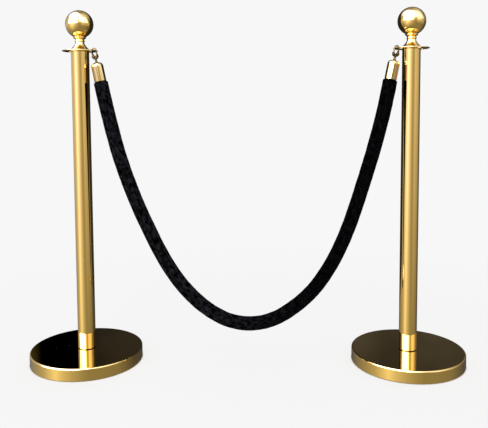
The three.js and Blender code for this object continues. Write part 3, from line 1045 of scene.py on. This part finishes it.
def studio():
    """Plain pale surroundings. The metal reflects a bright front, dimmer sides and a floor."""
    world = bpy.data.worlds.new("studio")
    bpy.context.scene.world = world
    world.use_nodes = True
    world.cycles.sampling_method = "NONE"
    tree = world.node_tree
    tree.nodes.clear()
    direction = add(tree, "ShaderNodeTexCoord").outputs["Generated"]
    x, y, height = add(tree, "ShaderNodeSeparateXYZ", {0: direction}).outputs
    forward = maths(tree, "MULTIPLY", y, -1.0)
    azimuth = spread(tree, maths(tree, "ARCTAN2", x, forward), -pi, pi, 0, 1)
    path = add(tree, "ShaderNodeLightPath").outputs
    straight = maths(tree, "LESS_THAN", path["Diffuse Depth"], 0.5)  # no matt surface on the way
    mirrored = maths(tree, "MULTIPLY", path["Is Glossy Ray"], straight)
    shiny = add(tree, "ShaderNodeBackground", {"Color": surroundings(tree, azimuth, height)})
    soft = add(tree, "ShaderNodeBackground", {"Color": (1, 1, 1, 1), "Strength": SOFT_LIGHT})
    pale = add(tree, "ShaderNodeBackground", {"Color": (*PALE, 1)})
    lit = add(tree, "ShaderNodeMixShader", {0: mirrored, 1: soft.outputs[0], 2: shiny.outputs[0]})
    seen = add(tree, "ShaderNodeMixShader", {0: path["Is Camera Ray"], 1: lit.outputs[0], 2: pale.outputs[0]})
    add(tree, "ShaderNodeOutputWorld", {"Surface": seen.outputs[0]})


# Brightness of the reflected surroundings by azimuth, which is 0 straight in front and grows to the right
FLOOR_GLOW = {
    -180: 0.05, -150: 0.15, -106: 0.36, -80: 0.55, -66: 0.8, -50: 1.1, -37: 0.83, -15: 0.55, 5: 0.38, 20: 0.3,
    46: 0.29, 80: 0.25, 104: 0.15, 126: 0.08, 180: 0.05,
}
WALL_GLOW = {
    -180: 0.05, -160: 0.4, -125: 0.65, -96: 0.65, -75: 0.8, -58: 1.35, -43: 1.85, -28: 1.35, -15: 0.95,
    0: 0.6, 15: 0.4, 26: 0.48, 38: 0.8, 63: 0.7, 95: 0.5, 110: 0.14, 135: 0.05, 180: 0.04,
}
LOW_SKY_GLOW = {
    -180: 0.1, -150: 0.12, -130: 0.4, -118: 0.55, -104: 0.65, -86: 0.7, -79: 11, -10: 11, 0: 2, 10: 0.8,
    24: 0.6, 36: 1.1, 46: 1.5, 60: 1.3, 76: 0.9, 100: 0.3, 145: 0.2, 180: 0.1,
}
HIGH_SKY_GLOW = {
    -180: 0.3, -150: 0.4, -130: 1.5, -106: 4, -60: 5.5, 6: 5.5, 35: 1.8, 60: 1.2, 90: 0.9, 115: 0.7,
    140: 0.5, 180: 0.3,
}
NADIR = grey(0.28)
PLAIN = grey(1)
WALL_TINT = (1, 1, 1.75)
LOW_SKY_TINT = (1, 1.12, 1.7)
HIGH_SKY_TINT = (1, 1.2, 2.6)
TINT_POWER = 4  # how quickly the tint fades out of a dim part

# Upwards: the heights from which to which each layer takes over. A height is -1 at the nadir and 1 overhead
LAYERS = [
    (-0.8, -0.35, FLOOR_GLOW, PLAIN), (-0.35, 0.05, WALL_GLOW, WALL_TINT),
    (0.10, 0.12, LOW_SKY_GLOW, LOW_SKY_TINT), (0.5, 0.8, HIGH_SKY_GLOW, HIGH_SKY_TINT),
]

# The dark wall's half width, distance and height in metres, and its colours from left to right
DARK_CARD = (0.85, 0.45, 1.36)
DARK_WALL = [
    (0.0, (0.07, 0.065, 0.03)), (0.045, (0.05, 0.045, 0.02)), (0.06, grey(0)), (0.155, grey(0)),
    (0.16, grey(0.024)), (0.25, grey(0.028)), (0.68, grey(0.028)), (0.72, grey(0.06)), (1.0, grey(0.06)),
]

# The window's two upright edges in metres, and its colours from the near one to the far one
WINDOW_NEAR = (0.0, -1.54)
WINDOW_FAR = (1.44, 0.12)
WINDOW_NEAR_SILL = 1.4
WINDOW_FAR_SILL = 1.1
WINDOW_LINTEL = 2.6
WINDOW = [(0.0, (4.0, 4.8, 8.0)), (0.5, (2.4, 3.0, 5.5)), (1.0, (0.9, 1.1, 2.2))]

# The floor takes part of a shadow up to the first of two distances in metres, and none from the second on
FLOOR_REACH = 30
SHADOW_SHARE = 0.15
SHADOW_FADES = (0.8, 1.6)
CONTACT_START = BASE_RADIUS + 1  # and takes all of it close round a base, in millimetres
CONTACT_END = BASE_RADIUS + 3

# The lamp, in metres and watts, and the even light that matt surfaces get from all round
LAMP_PLACE = (-1.1, -1.6, 2.2)
LAMP_TARGET = (0, 0, 0.5)
LAMP_SIZE = 1.6
LAMP_POWER = 12
SOFT_LIGHT = 0.85
PALE = grey(0.93)


def surroundings(tree, azimuth, height):
    """What the metal sees in each direction: the floor, a low wall, and a sky that is bright in front."""
    seen = NADIR
    for start, end, glow, tint in LAYERS:
        share = spread(tree, height, start, end, 0, 1)
        seen = mixed(tree, share, seen, around(tree, azimuth, glow, tint), kind="VECTOR")
    return seen


def around(tree, azimuth, glow, tint):
    """The light that glow gives at each azimuth. The brighter it is, the more it takes the tint."""
    brightest = max(glow.values())
    stops = []
    for angle, value in glow.items():
        share = min(1, value ** TINT_POWER)
        taken = [1 + (part - 1) * share for part in tint]
        stops.append(((angle + 180) / 360, Vector(taken) * value / brightest))
    return scaled(tree, ramp(tree, azimuth, stops), brightest)


def product(tree, first, second):
    """Two colours multiplied."""
    inputs = {0: first, 1: second}
    return add(tree, "ShaderNodeVectorMath", inputs, operation="MULTIPLY").outputs["Vector"]


def scaled(tree, colour, factor):
    """A colour made factor times as bright."""
    inputs = {0: colour, "Scale": factor}
    return add(tree, "ShaderNodeVectorMath", inputs, operation="SCALE").outputs["Vector"]


def mirror_card(name, corners, colour_at):
    """A glowing card that only reflections see. colour_at(tree, across) gives its colour."""
    mesh = bpy.data.meshes.new(name)
    mesh.from_pydata(corners, [], [(0, 1, 2, 3)])
    card = placed(name, mesh)
    look, tree = empty_material(name)
    look.cycles.emission_sampling = "NONE"
    place = add(tree, "ShaderNodeTexCoord").outputs["Generated"]
    across = add(tree, "ShaderNodeSeparateXYZ", {0: place}).outputs["X"]
    glow = add(tree, "ShaderNodeEmission", {"Color": colour_at(tree, across)})
    add(tree, "ShaderNodeOutputMaterial", {"Surface": glow.outputs[0]})
    mesh.materials.append(look)
    card.visible_camera = False
    card.visible_diffuse = False
    card.visible_shadow = False
    card.visible_transmission = False


def dark_card():
    """A dark wall close behind the barrier: brown at its left end, then black, and dark grey on the right."""
    def colour_at(tree, across):
        stains = ramp(tree, blotches(tree, scale=3, detail=3), [(0.35, grey(0.6)), (0.65, grey(1.3))])
        return product(tree, stains, ramp(tree, across, DARK_WALL))
    side, distance, height = DARK_CARD
    corners = [(-side, distance, 0), (side, distance, 0), (side, distance, height), (-side, distance, height)]
    mirror_card("dark_card", corners, colour_at)


def window_card():
    """A tall bright window to the right of the front, high enough to be seen only by the finials."""
    def colour_at(tree, across):
        return ramp(tree, across, WINDOW)
    corners = [
        (*WINDOW_NEAR, WINDOW_NEAR_SILL), (*WINDOW_FAR, WINDOW_FAR_SILL),
        (*WINDOW_FAR, WINDOW_LINTEL), (*WINDOW_NEAR, WINDOW_LINTEL),
    ]
    mirror_card("window_card", corners, colour_at)


def floor():
    """A pale floor. It takes a soft shadow near the barrier and is as pale as the wall further off."""
    mesh = bpy.data.meshes.new("floor")
    reach = FLOOR_REACH
    corners = [(-reach, -reach, 0), (reach, -reach, 0), (reach, reach, 0), (-reach, reach, 0)]
    mesh.from_pydata(corners, [], [(0, 1, 2, 3)])
    ground = placed("floor", mesh)
    look, tree = empty_material("floor")
    place = add(tree, "ShaderNodeTexCoord").outputs["Object"]
    distance = add(tree, "ShaderNodeVectorMath", {0: place}, operation="LENGTH").outputs["Value"]
    matt_share = spread(tree, distance, *SHADOW_FADES, SHADOW_SHARE, 0)
    for post_x in POST_X.values():
        ends = {0: place, 1: (post_x * MM, 0, 0)}
        distance = add(tree, "ShaderNodeVectorMath", ends, operation="DISTANCE").outputs["Value"]
        contact = spread(tree, distance, CONTACT_START * MM, CONTACT_END * MM, 1, 0)
        matt_share = maths(tree, "MAXIMUM", matt_share, contact)
    glow = add(tree, "ShaderNodeEmission", {"Color": (*PALE, 1)})
    matt = add(tree, "ShaderNodeBsdfDiffuse", {"Color": (*PALE, 1)})
    mix = add(tree, "ShaderNodeMixShader", {0: matt_share, 1: glow.outputs[0], 2: matt.outputs[0]})
    add(tree, "ShaderNodeOutputMaterial", {"Surface": mix.outputs[0]})
    mesh.materials.append(look)
    ground.visible_glossy = False
    ground.visible_diffuse = False


def soft_light():
    """One large soft lamp above and to the left of the front."""
    data = bpy.data.lights.new("soft_light", "AREA")
    data.shape = "SQUARE"
    data.size = LAMP_SIZE
    data.energy = LAMP_POWER
    lamp = placed("soft_light", data)
    place = Vector(LAMP_PLACE)
    aim = (place - Vector(LAMP_TARGET)).to_track_quat("Z", "Y").to_matrix().to_4x4()
    lamp.matrix_world = Matrix.Translation(place) @ aim
    lamp.visible_glossy = False


LOOKS = {
    "gold_tube": tube_gold(),
    "gold_base": gold("gold_base", grain=300),
    "gold_cast": gold("gold_cast", grain=500),
    "gold_cap": gold("gold_cap", grain=500, depth=0.62),
    "gold_small": dull_gold(),
    "cast_iron": cast_iron(),
    "rubber": rubber(),
    "steel": steel("zinc_steel", (0.42, 0.43, 0.45), (0.56, 0.57, 0.58)),
    "dark_steel": steel("blackened_steel", (0.05, 0.045, 0.04), (0.10, 0.09, 0.075)),
    "spring_steel": spring_steel(),
    "nylon": nylon(),
    "wood": wood(),
    "core": cotton(),
    "velvet": velvet(),
}

camera()
velvet_rope()
for post_name, post_side in SIDES.items():
    post(post_name, post_side)
    rope_end(post_name, post_side)
dress_cad_nodes()
studio()
dark_card()
window_card()
floor()
soft_light()
bpy.context.scene.view_settings.view_transform = "Standard"
